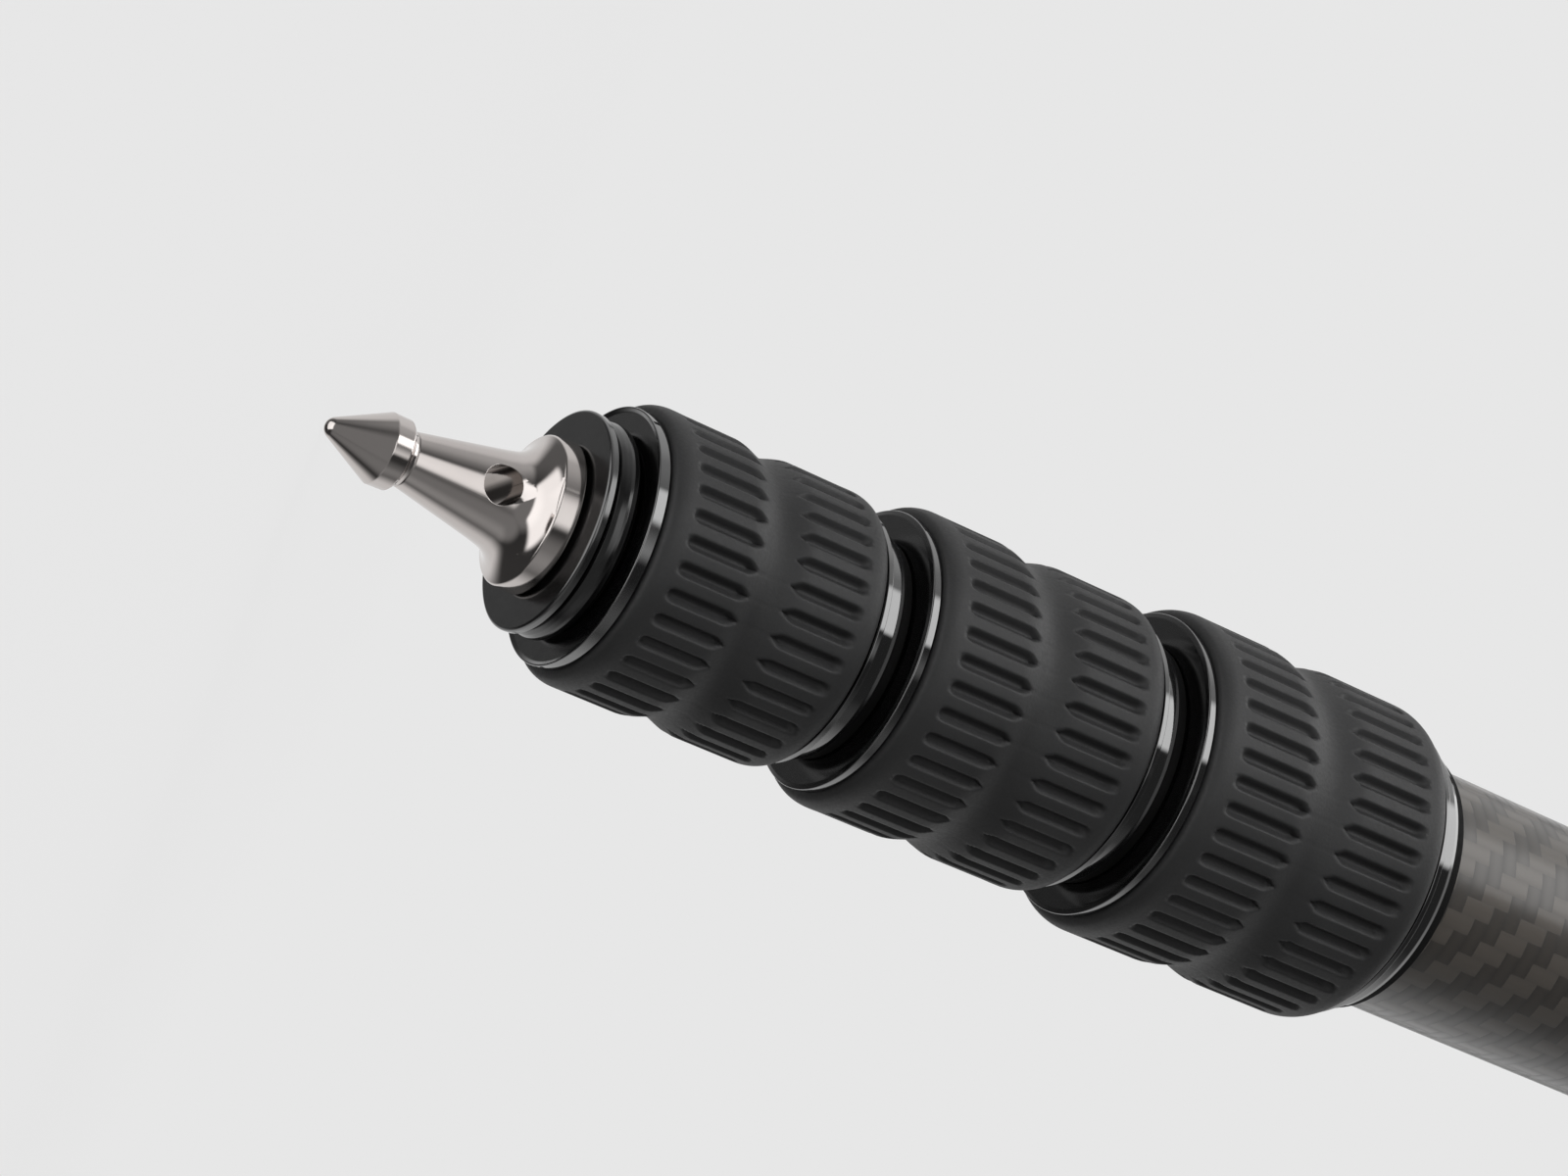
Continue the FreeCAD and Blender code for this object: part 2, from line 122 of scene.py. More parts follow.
def moved(x, y, z, turn=0.0):
    """A placement from millimetres and a turn about Z in degrees."""
    return Matrix.Translation(Vector((x, y, z)) * MM) @ Matrix.Rotation(math.radians(turn), 4, "Z")


def section_body(section):
    """Name of the body that carries a tube section, with a %d for the leg."""
    return "leg_%d" if section == 1 else "leg_%%d_section_%d" % section


class Field:
    """A number in a node tree that plain arithmetic goes on from."""

    def __init__(self, tree, socket):
        self.tree = tree
        self.socket = socket

    def apply(self, kind, *others):
        made = self.tree.nodes.new("ShaderNodeMath")
        made.operation = kind
        for place, value in enumerate((self, *others)):
            if isinstance(value, Field):
                self.tree.links.new(value.socket, made.inputs[place])
            else:
                made.inputs[place].default_value = value
        return Field(self.tree, made.outputs[0])

    def __add__(self, other):
        return self.apply("ADD", other)

    def __sub__(self, other):
        return self.apply("SUBTRACT", other)

    def __mul__(self, other):
        return self.apply("MULTIPLY", other)

    def __truediv__(self, other):
        return self.apply("DIVIDE", other)

    def __rsub__(self, other):
        return self * -1.0 + other


# Materials

def material(name):
    """A new material with its node tree and its shader."""
    made = bpy.data.materials.new(name)
    made.use_nodes = True
    tree = made.node_tree
    tree.nodes.clear()
    output = tree.nodes.new("ShaderNodeOutputMaterial")
    shader = tree.nodes.new("ShaderNodeBsdfPrincipled")
    tree.links.new(shader.outputs["BSDF"], output.inputs["Surface"])
    return made, tree, shader


def node(tree, kind, values=None, **settings):
    """A node with its settings, and its inputs set or linked by name or place."""
    made = tree.nodes.new(kind)
    for key, value in settings.items():
        setattr(made, key, value)
    for key, value in (values or {}).items():
        if isinstance(value, bpy.types.NodeSocket):
            tree.links.new(value, made.inputs[key])
        else:
            made.inputs[key].default_value = value
    return made


def group_tree(name, inputs, outputs):
    """An empty node group with number inputs, and its entry and leaving nodes."""
    tree = bpy.data.node_groups.new(name, "ShaderNodeTree")
    for socket, value in inputs.items():
        made = tree.interface.new_socket(socket, in_out="INPUT", socket_type="NodeSocketFloat")
        made.default_value = value
    for socket, kind in outputs.items():
        tree.interface.new_socket(socket, in_out="OUTPUT", socket_type=kind)
    entry = tree.nodes.new("NodeGroupInput")
    leave = tree.nodes.new("NodeGroupOutput")
    return tree, entry, leave


def place_group(tree, group, values=None):
    """A node that stands for a node group, with its inputs set."""
    made = tree.nodes.new("ShaderNodeGroup")
    made.node_tree = group
    for key, value in (values or {}).items():
        made.inputs[key].default_value = value
    return made


def grain_group():
    """Fine random pits on the object's own coordinates."""
    tree, entry, leave = group_tree(
        "fine_grain",
        {"Scale": 1500.0, "Coarse": 0.35},
        {"Height": "NodeSocketFloat", "Patches": "NodeSocketFloat"},
    )
    place = node(tree, "ShaderNodeTexCoord")
    fine = node(
        tree,
        "ShaderNodeTexNoise",
        {"Vector": place.outputs["Object"], "Scale": entry.outputs["Scale"], "Detail": 3.0},
    )
    coarse = node(
        tree,
        "ShaderNodeTexNoise",
        {"Vector": place.outputs["Object"], "Scale": 60.0, "Detail": 4.0, "Roughness": 0.6},
    )
    mixed = node(
        tree,
        "ShaderNodeMix",
        {0: entry.outputs["Coarse"], 2: fine.outputs["Fac"], 3: coarse.outputs["Fac"]},
    )
    tree.links.new(mixed.outputs[0], leave.inputs["Height"])
    tree.links.new(coarse.outputs["Fac"], leave.inputs["Patches"])
    return tree


def turning_group():
    """Fine rings left by a lathe tool, read from the piece's own map."""
    tree, entry, leave = group_tree(
        "turning_lines",
        {"Rings per metre": 9000.0},
        {"Height": "NodeSocketFloat"},
    )
    place = node(tree, "ShaderNodeUVMap", uv_map="turned")
    split = node(tree, "ShaderNodeSeparateXYZ", {"Vector": place.outputs["UV"]})
    count = Field(tree, split.outputs["Y"]) * Field(tree, entry.outputs["Rings per metre"])
    rings = node(
        tree,
        "ShaderNodeTexNoise",
        {"W": count.socket, "Scale": 1.0, "Detail": 3.0, "Roughness": 0.7},
        noise_dimensions="1D",
    )
    tree.links.new(rings.outputs["Fac"], leave.inputs["Height"])
    return tree


GRAIN = grain_group()
TURNING = turning_group()


def bump(tree, shader, height, distance, strength):
    """Relief on a shader, from a height between 0 and 1 and a depth in metres."""
    made = node(
        tree,
        "ShaderNodeBump",
        {"Height": height, "Distance": distance, "Strength": strength},
    )
    tree.links.new(made.outputs["Normal"], shader.inputs["Normal"])
    return made


def spread(tree, value, low, high):
    """A value that runs from 0.3 to 0.7, as noise does, spread over low to high."""
    made = node(
        tree,
        "ShaderNodeMapRange",
        {"Value": value, "From Min": 0.3, "From Max": 0.7, "To Min": low, "To Max": high},
    )
    return made.outputs["Result"]


def fade(tree, value, start, end, low, high):
    """A value eased from low at start to high at end."""
    made = node(
        tree, "ShaderNodeMapRange",
        {"Value": value, "From Min": start, "From Max": end, "To Min": low, "To Max": high},
        interpolation_type="SMOOTHSTEP",
    )
    return Field(tree, made.outputs["Result"])


def along(tree, vector, direction):
    """How far a vector goes in a direction."""
    made = node(
        tree, "ShaderNodeVectorMath", {0: vector, 1: tuple(direction)}, operation="DOT_PRODUCT",
    )
    return made.outputs["Value"]


def distance(tree, place, centre):
    """How far a place is from a point."""
    made = node(tree, "ShaderNodeVectorMath", {0: place, 1: tuple(centre)}, operation="DISTANCE")
    return made.outputs["Value"]


def blended(tree, share, first, second):
    """A colour that goes from the first to the second with a share."""
    return node(tree, "ShaderNodeMix", {0: share, 6: first, 7: second}, data_type="RGBA").outputs[2]


def tinted(tree, shader, factor, dark, light):
    """Base colour that runs from dark to light with a factor from 0.3 to 0.7."""
    ramp = node(tree, "ShaderNodeValToRGB", {"Fac": factor})
    ramp.color_ramp.elements[0].position = 0.3
    ramp.color_ramp.elements[0].color = (*dark, 1)
    ramp.color_ramp.elements[1].position = 0.7
    ramp.color_ramp.elements[1].color = (*light, 1)
    tree.links.new(ramp.outputs["Color"], shader.inputs["Base Color"])


def rubber():
    """Matt black rubber with a fine grain."""
    made, tree, shader = material("grip_rubber")
    grain = place_group(tree, GRAIN, {"Scale": 2600.0, "Coarse": 0.1})
    tinted(tree, shader, grain.outputs["Patches"], (0.012, 0.012, 0.0122), (0.017, 0.017, 0.0173))
    rough = spread(tree, grain.outputs["Height"], 0.5, 0.62)
    tree.links.new(rough, shader.inputs["Roughness"])
    shader.inputs["Specular IOR Level"].default_value = 0.42
    bump(tree, shader, grain.outputs["Height"], 0.05 * MM, 0.5)
    return made


def anodised(name, dark, light, low, high, sheen):
    """Dyed black aluminium, from mirror-like on the nuts to satin on the discs."""
    made, tree, shader = material(name)
    grain = place_group(tree, GRAIN, {"Scale": 900.0, "Coarse": 0.5})
    tinted(tree, shader, grain.outputs["Patches"], (dark, dark, dark * 1.05), (light, light, light * 1.05))
    rough = spread(tree, grain.outputs["Height"], low, high)
    tree.links.new(rough, shader.inputs["Roughness"])
    shader.inputs["IOR"].default_value = 2.3
    shader.inputs["Specular IOR Level"].default_value = sheen
    return made


def painted_gap_shade():
    """Painted shade: a matt, barely reflective black on the faces that look into the gaps between the locks,
    where shade falls.
    """
    made, tree, shader = material("painted_gap_shade")
    grain = place_group(tree, GRAIN, {"Scale": 1200.0, "Coarse": 0.4})
    tinted(tree, shader, grain.outputs["Patches"], (0.002, 0.002, 0.002), (0.004, 0.004, 0.004))
    rough = spread(tree, grain.outputs["Height"], 0.6, 0.75)
    tree.links.new(rough, shader.inputs["Roughness"])
    shader.inputs["Specular IOR Level"].default_value = 0.15
    return made


def casting():
    """Black painted casting, rough to the touch, with worn soft edges."""
    made, tree, shader = material("black_casting")
    grain = place_group(tree, GRAIN, {"Scale": 1800.0, "Coarse": 0.2})
    tinted(tree, shader, grain.outputs["Patches"], (0.018, 0.018, 0.019), (0.025, 0.025, 0.026))
    rough = spread(tree, grain.outputs["Height"], 0.32, 0.42)
    tree.links.new(rough, shader.inputs["Roughness"])
    edges = node(tree, "ShaderNodeBevel", {"Radius": 0.5 * MM}, samples=4)
    texture = bump(tree, shader, grain.outputs["Height"], 0.06 * MM, 0.6)
    tree.links.new(edges.outputs["Normal"], texture.inputs["Normal"])
    return made


def polished_steel(name, dark, light):
    """Turned and polished, with edges that catch the light."""
    made, tree, shader = material(name)
    lines = place_group(tree, TURNING, {"Rings per metre": 14000.0})
    grain = place_group(tree, GRAIN, {"Scale": 700.0, "Coarse": 0.5})
    tinted(tree, shader, grain.outputs["Patches"], dark, light)
    rough = spread(tree, lines.outputs["Height"], 0.06, 0.12)
    tree.links.new(rough, shader.inputs["Roughness"])
    shader.inputs["Metallic"].default_value = 1.0
    edges = node(tree, "ShaderNodeBevel", {"Radius": 0.16 * MM}, samples=4)
    rings = bump(tree, shader, lines.outputs["Height"], 0.001 * MM, 0.02)
    tree.links.new(edges.outputs["Normal"], rings.inputs["Normal"])
    return made


def dark_steel():
    """Blackened steel of the screws, pins and stop tabs."""
    made, tree, shader = material("dark_steel")
    grain = place_group(tree, GRAIN, {"Scale": 2200.0, "Coarse": 0.3})
    tinted(tree, shader, grain.outputs["Patches"], (0.05, 0.05, 0.052), (0.085, 0.085, 0.088))
    rough = spread(tree, grain.outputs["Height"], 0.24, 0.34)
    tree.links.new(rough, shader.inputs["Roughness"])
    shader.inputs["Metallic"].default_value = 1.0
    bump(tree, shader, grain.outputs["Height"], 0.02 * MM, 0.4)
    return made


RUBBER = rubber()
ANODISED = anodised("black_anodised", 0.002, 0.004, 0.04, 0.08, 0.6)
SATIN_BLACK = anodised("satin_anodised", 0.002, 0.004, 0.13, 0.2, 0.4)
SOFT_BLACK = anodised("soft_anodised", 0.001, 0.002, 0.12, 0.18, 0.2)
# Painted shade: a matt black for the faces in the gaps between the locks and on the collars' sleeves.
PAINTED_GAP_SHADE = painted_gap_shade()
CASTING = casting()
STEEL = polished_steel("polished_steel", (0.54, 0.5, 0.482), (0.6, 0.56, 0.54))
# Painted shade: a darker steel for the wall of the hole through each spike.
HOLE_SHADE_STEEL = polished_steel("hole_shade_steel", (0.28, 0.25, 0.23), (0.42, 0.38, 0.36))
DARK_STEEL = dark_steel()


# Turned pieces

def softened(points, size, steps=3, lead=0.05):
    """A closed outline with each corner rounded off, and a short lead beside each
    arc that keeps the flats flat. All in millimetres."""
    outline = []
    count = len(points)
    for index, point in enumerate(points):
        here = Vector(point)
        before = Vector(points[index - 1]) - here
        after = Vector(points[(index + 1) % count]) - here
        cut = min(size, 0.4 * before.length, 0.4 * after.length)
        start = here + before.normalized() * cut
        end = here + after.normalized() * cut
        bend = before.angle(after)
        if bend > math.radians(172) or here.x < 1e-6:
            outline.append(here)
            continue
        outline.append(start + before.normalized() * min(lead, 0.3 * cut))
        for step in range(steps + 1):
            t = step / steps
            outline.append(start * (1 - t) ** 2 + here * (2 * t * (1 - t)) + end * t ** 2)
        outline.append(end + after.normalized() * min(lead, 0.3 * cut))
    return outline


def turned_mesh(name, points, soft, steps=144):
    """Mesh turned about Z from a closed outline in millimetres, with its corners softened
    and a map of turns and height."""
    outline = softened(points, soft)
    made = bpy.data.meshes.new(name)
    build = bmesh.new()
    layer = build.loops.layers.uv.new("turned")
    rings = []
    for point in outline:
        if point.x < 1e-6:
            rings.append([build.verts.new((0, 0, point.y * MM))] * steps)
            continue
        ring = []
        for step in range(steps):
            angle = 2 * math.pi * step / steps
            x, y = point.x * MM * math.cos(angle), point.x * MM * math.sin(angle)
            ring.append(build.verts.new((x, y, point.y * MM)))
        rings.append(ring)
    count = len(outline)
    for index in range(count):
        lower, upper = rings[index], rings[(index + 1) % count]
        low_z, high_z = outline[index].y * MM, outline[(index + 1) % count].y * MM
        if lower[0] is lower[1] and upper[0] is upper[1]:
            continue
        for step in range(steps):
            following = (step + 1) % steps
            corners = [
                (lower[step], step, low_z),
                (lower[following], step + 1, low_z),
                (upper[following], step + 1, high_z),
                (upper[step], step, high_z),
            ]
            kept = []
            for corner in corners:
                if corner[0] not in [k[0] for k in kept]:
                    kept.append(corner)
            face = build.faces.new([k[0] for k in kept])
            face.smooth = True
            for loop, corner in zip(face.loops, kept):
                loop[layer].uv = (corner[1] / steps, corner[2])
    bmesh.ops.recalc_face_normals(build, faces=build.faces)
    build.to_mesh(made)
    build.free()
    made.set_sharp_from_angle(angle=math.radians(40))
    return made


def placed(name, mesh, body, finishes, replaced):
    """A piece of the scene that moves with a body and is shown in place of a node."""
    piece = bpy.data.objects.new(name, mesh)
    bpy.context.scene.collection.objects.link(piece)
    for finish in finishes:
        mesh.materials.append(finish)
    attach(piece, body)
    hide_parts(replaced)


def on_every_leg(name, mesh, body, finishes, replaced):
    """Copies of a mesh drawn in the leg frame, one for each leg. The names hold a %d for the
    leg's number, and the mesh is used up."""
    for leg in LEGS:
        own = mesh.copy()
        own.name = name % leg
        own.transform(LEG_FRAMES[leg])
        placed(name % leg, own, body % leg, finishes, replaced % leg)
    bpy.data.meshes.remove(mesh)


# Geometry Nodes, on a sheet of vertices that is wrapped round Z

def growing_tree(name, kinds):
    """A Geometry Nodes tree with named inputs, their identifiers, and their values inside it."""
    tree = bpy.data.node_groups.new(name, "GeometryNodeTree")
    tree.interface.new_socket("Geometry", in_out="INPUT", socket_type="NodeSocketGeometry")
    sockets = {}
    for label, kind in kinds.items():
        made = tree.interface.new_socket(label, in_out="INPUT", socket_type="NodeSocket" + kind)
        sockets[label] = made.identifier
    tree.interface.new_socket("Geometry", in_out="OUTPUT", socket_type="NodeSocketGeometry")
    entry = tree.nodes.new("NodeGroupInput")
    given = {label: Field(tree, entry.outputs[label]) for label in kinds}
    return tree, sockets, given


def sheet_of_vertices(tree, columns, rows):
    """A grid to be wrapped, with the column and the row of each of its vertices."""
    sheet = tree.nodes.new("GeometryNodeMeshGrid")
    tree.links.new((columns + 1).socket, sheet.inputs["Vertices X"])
    tree.links.new(rows.socket, sheet.inputs["Vertices Y"])
    index = Field(tree, tree.nodes.new("GeometryNodeInputIndex").outputs[0])
    column = (index / rows).apply("FLOOR")
    return sheet, column, index - column * rows


def wrap(tree, sheet, radius, angle, height, finish):
    """The sheet's vertices moved round Z and joined up, as the tree's result."""
    place = tree.nodes.new("ShaderNodeCombineXYZ")
    tree.links.new((radius * angle.apply("COSINE")).socket, place.inputs["X"])
    tree.links.new((radius * angle.apply("SINE")).socket, place.inputs["Y"])
    tree.links.new(height.socket, place.inputs["Z"])
    bent = tree.nodes.new("GeometryNodeSetPosition")
    tree.links.new(place.outputs[0], bent.inputs["Position"])
    joined = tree.nodes.new("GeometryNodeMergeByDistance")
    joined.inputs["Distance"].default_value = 0.004 * MM
    smooth = tree.nodes.new("GeometryNodeSetShadeSmooth")
    real = tree.nodes.new("GeometryNodeRealizeInstances")
    painted = tree.nodes.new("GeometryNodeSetMaterial")
    tree.links.new(finish.socket, painted.inputs["Material"])
    chain = sheet.outputs["Mesh"]
    for step in (bent, joined, smooth, real, painted):
        tree.links.new(chain, step.inputs["Geometry"])
        chain = step.outputs["Geometry"]
    leave = tree.nodes.new("NodeGroupOutput")
    tree.links.new(chain, leave.inputs["Geometry"])


def held(value):
    """A value kept between 0 and 1."""
    return value.apply("MAXIMUM", 0.0).apply("MINIMUM", 1.0)


# The ribbed rubber grips

def grip_tree():
    """Two ribbed lobes with a smooth waist, on a sheet of vertices wrapped round Z.
    Each column of the sheet runs along the bore, out over the ribs and back to the bore."""
    lengths = (
        "Radius", "Length", "Wall", "End inset", "End blend", "Waist depth", "Waist reach",
        "Groove depth", "Groove share", "Groove start", "Groove gap", "Groove point", "Floor share",
    )
    kinds = dict.fromkeys(lengths, "Float")
    kinds.update({"Grooves": "Int", "Steps": "Int", "Rows": "Int", "Finish": "Material"})
    tree, sockets, given = growing_tree("ribbed_grip", kinds)
    radius, length = given["Radius"], given["Length"]
    rows = given["Rows"] + 3
    sheet, column, row = sheet_of_vertices(tree, given["Grooves"] * given["Steps"], rows)

    cell = column / given["Steps"]
    number = cell.apply("FLOOR")
    across = cell - number - 0.5
    across = across + (across * (4 * math.pi)).apply("SINE") * (0.5 / (4 * math.pi))
    angle = (number + across) * (2 * math.pi) / given["Grooves"]

    share = held((row - 2) / (given["Rows"] - 1))
    share = share - (share * (4 * math.pi)).apply("SINE") * (0.5 / (4 * math.pi))
    height = share * length
    from_end = height.apply("MINIMUM", length - height)
    turn = (1 - from_end / given["End blend"]).apply("MAXIMUM", 0.0)
    rounding = 1 - (1 - turn * turn).apply("SQRT")
    from_middle = (length * 0.5 - from_end) / given["Waist reach"]
    dip = (from_middle.apply("MINIMUM", 1.0) * math.pi).apply("COSINE") * 0.5 + 0.5
    lobe = radius - rounding * given["End inset"] - dip * given["Waist depth"]

    pitch = radius * (2 * math.pi) / given["Grooves"]
    half_width = pitch * given["Groove share"] * 0.5
    sideways = across * pitch
    beyond = (given["Groove start"] + half_width - from_end).apply("MAXIMUM", 0.0)
    away = (sideways * sideways + beyond * beyond).apply("SQRT") / half_width
    point = (length - given["Groove gap"]) * 0.5 - from_end
    point = held(point / given["Groove point"])
    slope = ((point - away) / (1 - given["Floor share"])).apply("SMOOTH_MAX", 0.0, 0.14)
    outside = lobe - slope.apply("SMOOTH_MIN", 1.0, 0.2) * given["Groove depth"]

    on_bore = row.apply("LESS_THAN", 1.5).apply("MAXIMUM", row.apply("GREATER_THAN", rows - 1.5))
    back_at_top = row.apply("LESS_THAN", 0.5)
    ring = outside + (radius - given["Wall"] - outside) * on_bore
    level = height + (length - height) * back_at_top
    wrap(tree, sheet, ring, angle, level, given["Finish"])
    return tree, sockets


def grown_mesh(name, tree, sockets, values):
    """The plain mesh that a Geometry Nodes tree grows from its named inputs."""
    holder = bpy.data.objects.new(name, bpy.data.meshes.new(name))
    bpy.context.scene.collection.objects.link(holder)
    modifier = holder.modifiers.new(name, "NODES")
    modifier.node_group = tree
    for key, value in values.items():
        modifier[sockets[key]] = value
    shown = holder.evaluated_get(bpy.context.evaluated_depsgraph_get())
    made = bpy.data.meshes.new_from_object(shown)
    made.name = name
    holder.modifiers.remove(modifier)
    bpy.data.objects.remove(holder)
    return made


GRIP_TREE, GRIP_SOCKETS = grip_tree()


def nut_back(lock):
    """Rear face of a lock's nut above the tip."""
    return FRONTS[lock] + GRIP_SEAT + GRIP_LENGTH_RATIO * GRIP_RADII[lock] + NUT_PAST_GRIP


# Front face of each lock's nut above the tip, as in the part's source
FRONTS = {3: LOWEST_FRONT}
for upper_lock in (2, 1):
    FRONTS[upper_lock] = nut_back(upper_lock + 1) + FERRULE_GAP + LIP_HEIGHT + LOCK_GAP


def grip_mesh(lock):
    """A lock's grip in the leg frame, seated on its nut."""
    radius = GRIP_RADII[lock]
    values = {
        "Radius": radius * MM,
        "Length": GRIP_LENGTH_RATIO * radius * MM,
        "Wall": GRIP_WALL * MM,
        "End inset": 1.15 * MM,
        "End blend": 2.4 * MM,
        "Waist depth": 1.1 * MM,
        "Waist reach": 0.25 * radius * MM,
        "Groove depth": 1.15 * MM,
        "Groove share": 0.57,
        "Groove start": 0.16 * radius * MM,
        "Groove gap": 0.25 * radius * MM,
        "Groove point": 1.6 * MM,
        "Floor share": 0.3,
        "Grooves": GROOVE_COUNTS[lock],
        "Steps": 16,
        "Rows": 84,
        "Finish": RUBBER,
    }
    made = grown_mesh("grip_%d" % lock, GRIP_TREE, GRIP_SOCKETS, values)
    build = bmesh.new()
    build.from_mesh(made)
    bmesh.ops.recalc_face_normals(build, faces=build.faces)
    build.to_mesh(made)
    build.free()
    made.transform(moved(0, 0, FRONTS[lock] + GRIP_SEAT))
    made.set_sharp_from_angle(angle=math.radians(50))
    made.materials.clear()
    return made


def add_grips():
    """The rubber grips of every lock."""
    for lock in LOCKS:
        on_every_leg(
            "ribbed_grip_%d_leg_%%d" % lock, grip_mesh(lock), "leg_%%d_lock_%d" % lock,
            [RUBBER], "leg_%%d_lock_grip_%d" % lock,
        )


# Turned parts of a leg

def nut_outline(lock):
    """A nut with a bright rim in front, a closing cone inside and a seat for its grip."""
    radius = GRIP_RADII[lock]
    front, back = FRONTS[lock], nut_back(lock)
    seat = radius - GRIP_WALL
    rim = radius - 1.55
    mouth = TUBE_RADII[lock + 1] + 0.8
    cone = TUBE_RADII[lock + 1] + 1.65
    bore = TUBE_RADII[lock] + 1.8
    edge = front - 0.3 if lock == 3 else front + 0.1
    return [
        (mouth, front), (rim - 0.7, front), (rim - 0.22, edge), (rim - 0.06, edge + 0.03),
        (rim, edge + 0.15), (rim, front + 1.35),
        (seat, front + 1.35), (seat, back), (bore, back), (bore, front + 8.4),
        (cone, front + 4.9), (cone, front + 3.2), (mouth, front + 3.2),
    ]


def ferrule_outline(lock):
    """A ferrule with its slotted end inside the nut and its polished lip above it."""
    front = FRONTS[lock]
    upper = TUBE_RADII[lock]
    bore = TUBE_RADII[lock + 1] + 0.35
    lip = GRIP_RADII[lock] - LIP_INSET
    low = nut_back(lock) + FERRULE_GAP
    return [
        (bore, front + 5), (bore + 1, front + 5), (upper + 1.5, front + 8.5), (upper + 1.5, low),
        (lip, low), (lip, low + 0.8), (lip - 1.25, low + 0.9), (lip - 1.3, low + 1.1),
        (lip - 1.42, low + 3.1), (lip - 1.65, low + 3.8), (upper + 1.6, low + 4.2),
        (upper + 1.6, low + 5.5), (upper, low + 5.5),
        (upper, front + FERRULE_END), (bore, front + FERRULE_END),
    ]


def tube_outline(section):
    """A tube, with the bush at its upper end that slides in the next one."""
    outer = TUBE_RADII[section]
    inner = outer - TUBE_WALL
    low = FRONTS[section] + FERRULE_END if section < 4 else LOWEST_TUBE_END
    high = HIGHEST_TUBE_END - TUBE_END_STEP * (section - 1)
    if section == 1:
        return [(inner, low), (outer, low), (outer, high), (inner, high)]
    bush = TUBE_RADII[section - 1] - TUBE_WALL - BUSH_PLAY
    return [
        (inner, low), (outer, low), (outer, high - BUSH_LENGTH), (bush, high - BUSH_LENGTH),
        (bush, high), (inner, high),
    ]


# Foot collar with its sharp first disc, its rounded second one and its sleeve
COLLAR_OUTLINE = [
    (4.86, 31.6), (14.85, 31.6), (15.08, 31.75), (15.15, 32.0), (15.1, 32.85), (12.6, 32.85),
    (12.6, 33.5), (14.2, 33.5), (14.45, 33.7), (14.72, 34.3), (14.9, 35.0), (14.92, 35.5),
    (14.8, 36.1), (14.4, 36.6), (13.4, 36.9), (13.4, 37.2), (10.6, 37.2), (10.6, 62), (4.86, 62),
]


def spike_outline():
    """A spike with its cone, its band, a tapered neck and a bell with a bright ring."""
    slope = math.radians(26.6)
    outline = [(0, 0)]
    for step in range(1, 9):
        turn = (math.pi / 2 - slope) * step / 8
        outline.append((1.5 * math.sin(turn), 1.5 * (1 - math.cos(turn))))
    shoulder = outline[-1][1] + (4.85 - outline[-1][0]) / math.tan(slope)
    outline += [(4.85, shoulder), (4.8, 10.2), (4.55, 10.5), (3.75, 10.95), (3.6, 11.5), (3.72, 11.62)]
    outline = [(radius, height - SPIKE_REACH) for radius, height in outline]
    outline += [(6.1, 22.6), (6.45, 24.1)]
    for step in range(1, 16):
        t = step / 16
        flare = Vector((6.45, 24.1)) * (1 - t) ** 2 + Vector((7.05, 26.9)) * (2 * t * (1 - t))
        outline.append(tuple(flare + Vector((10.15, 28.1)) * t ** 2))
    outline += [
        (10.15, 28.1), (10.3, 28.3), (10.55, 30.9), (10.4, 31.15), (8.5, 31.15), (8.5, 31.6),
        (4.76, 31.6), (4.76, 46), (0, 46),
    ]
    return outline


def drilled(mesh, place, radius, length, sides=96, end_radius=None):
    """Mesh with a hole cut along a placement's Z, round, tapered or with a few flat sides.
    The wall of a round hole takes the second material, which on the spikes is a darker steel that paints
    shade into the hole."""
    body = bpy.data.objects.new("body", mesh)
    cutter_mesh = bpy.data.meshes.new("cutter")
    build = bmesh.new()
    bmesh.ops.create_cone(
        build, cap_ends=True, segments=sides, radius1=radius * MM,
        radius2=(end_radius or radius) * MM, depth=length * MM, matrix=place,
    )
    build.to_mesh(cutter_mesh)
    build.free()
    cutter = bpy.data.objects.new("cutter", cutter_mesh)
    for made in (body, cutter):
        bpy.context.scene.collection.objects.link(made)
    modifier = body.modifiers.new("hole", "BOOLEAN")
    modifier.object = cutter
    modifier.solver = "EXACT"
    result = bpy.data.meshes.new_from_object(body.evaluated_get(bpy.context.evaluated_depsgraph_get()))
    body.modifiers.remove(modifier)
    for made in (body, cutter):
        bpy.data.objects.remove(made)
    bpy.data.meshes.remove(cutter_mesh)
    out_of_hole = place.inverted()
    for face in result.polygons:
        face.use_smooth = True
        corners = [out_of_hole @ result.vertices[index].co for index in face.vertices]
        on_wall = all(abs(corner.xy.length - radius * MM) < 0.004 * MM for corner in corners)
        if on_wall and sides > 6:
            face.material_index = 1
    result.set_sharp_from_angle(angle=math.radians(35))
    return result


def refinished(mesh, chosen, index=1):
    """Another finish on the faces that a rule picks by radius and height, in millimetres,
    and by the way that the face looks along the leg."""
    for face in mesh.polygons:
        if chosen(face.center.xy.length / MM, face.center.z / MM, face.normal.z):
            face.material_index = index
    return mesh


def add_nut(lock):
    """A lock's nut on every leg, with a softer front face inside its rim."""
    front, face_radius = FRONTS[lock], GRIP_RADII[lock] - 1.8
    mesh = refinished(
        turned_mesh("nut", nut_outline(lock), 0.08),
        lambda radius, height, away: away < -0.7 and height < front + 0.5 and radius < face_radius,
    )
    on_every_leg(
        "turned_lock_nut_%d_leg_%%d" % lock, mesh, "leg_%%d_lock_%d" % lock,
        [ANODISED, SATIN_BLACK], "leg_%%d_lock_nut_%d" % lock,
    )


